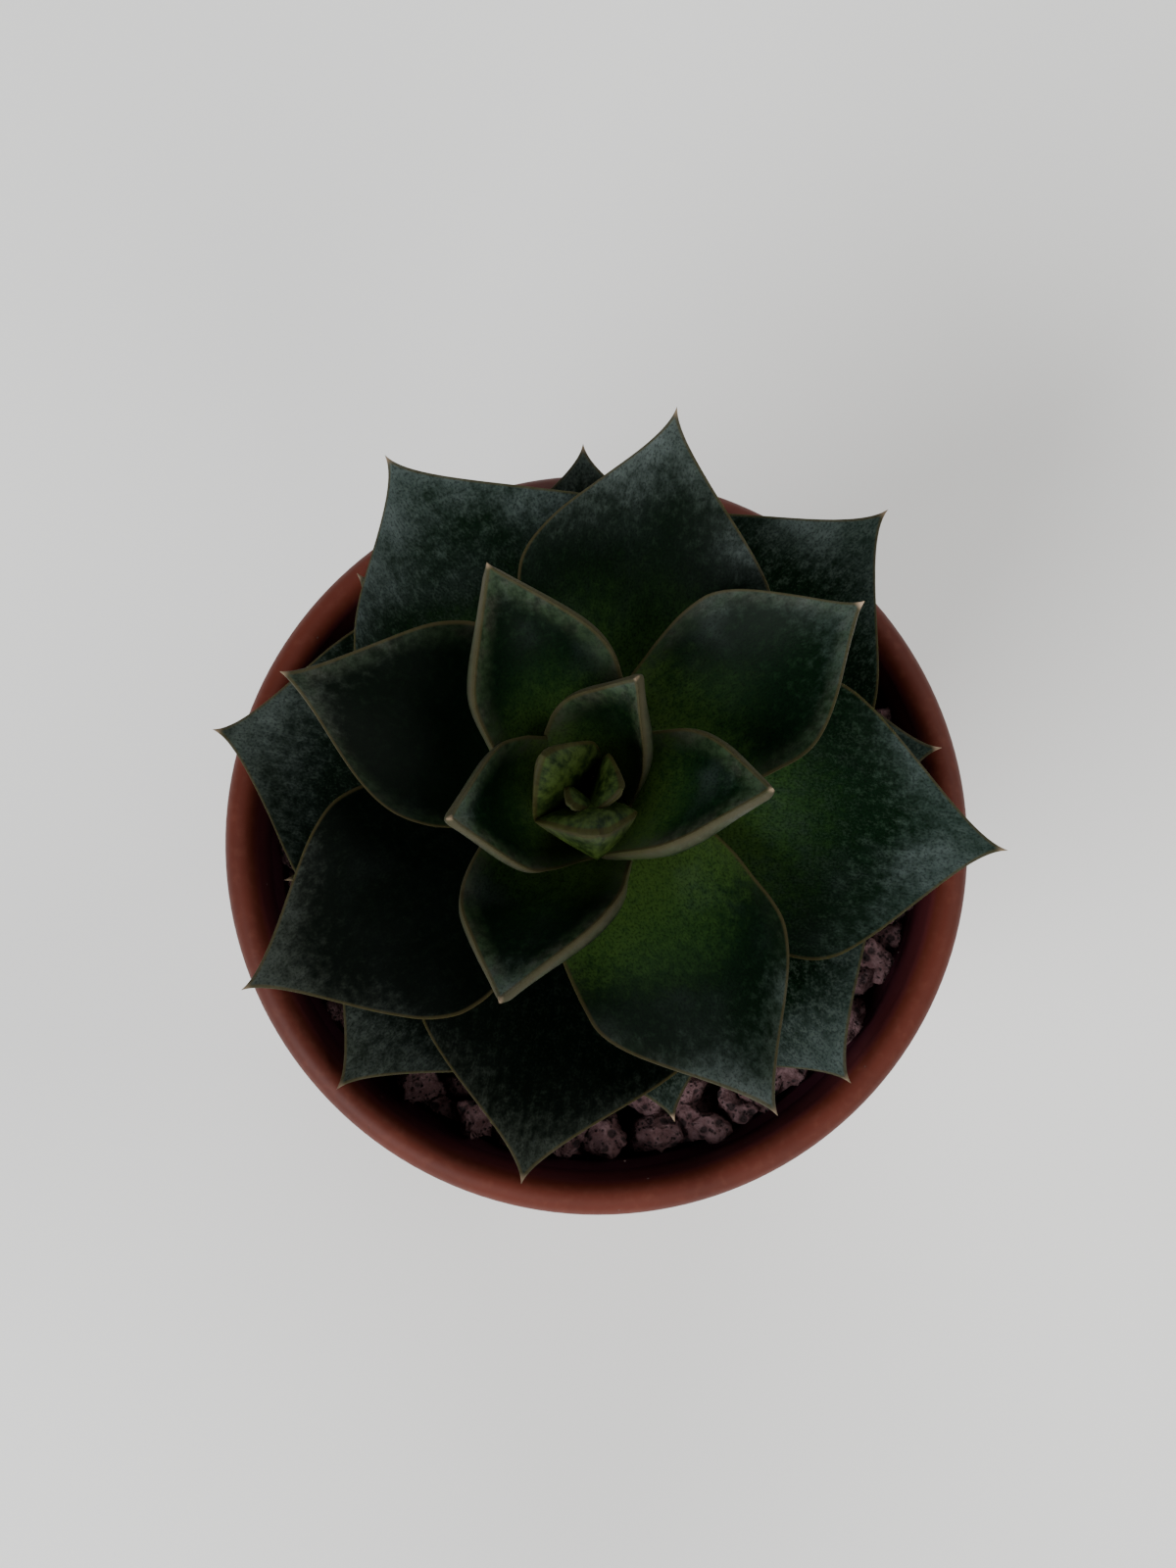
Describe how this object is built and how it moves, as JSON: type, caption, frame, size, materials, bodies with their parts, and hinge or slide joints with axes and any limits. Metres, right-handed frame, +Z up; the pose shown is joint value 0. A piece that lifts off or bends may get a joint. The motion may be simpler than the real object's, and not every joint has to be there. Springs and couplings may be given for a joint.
{
  "type": "potted succulent",
  "caption": "Rosette succulent with pointed fleshy leaves on a short stem, in a round tapered nursery pot topped with crushed lava rock.",
  "frame": {"origin": "centre of the pot's base, on the surface it stands on", "axes": "+Z up along the pot's axis; +Y points to the top of the view from above, +X to its right"},
  "size_m": [0.0871, 0.0878, 0.1019],
  "materials": {
    "pot_plastic": "satin terracotta-coloured moulded plastic",
    "soil": "loose dark potting soil",
    "lava": "rough porous crushed lava rock",
    "stem": "pale corky stem",
    "bud": "waxy yellow-green young leaf",
    "leaf": "waxy dark green leaf with a pale bloom"
  },
  "bodies": {
    "root": {"pot": "pot_plastic", "potting_soil": "soil", "lava_rock": "lava", "stem": "stem", "bud": "bud", "leaf_01": "leaf", "leaf_02": "leaf", "leaf_03": "leaf", "leaf_04": "leaf", "leaf_05": "leaf", "leaf_06": "leaf", "leaf_07": "leaf", "leaf_08": "leaf", "leaf_09": "leaf", "leaf_10": "leaf", "leaf_11": "leaf", "leaf_12": "leaf", "leaf_13": "leaf", "leaf_14": "leaf", "leaf_15": "leaf", "leaf_16": "leaf", "leaf_17": "leaf", "leaf_18": "leaf", "leaf_19": "leaf", "leaf_20": "leaf", "leaf_21": "leaf", "leaf_22": "leaf", "leaf_23": "leaf"}
  },
  "joints": []
}
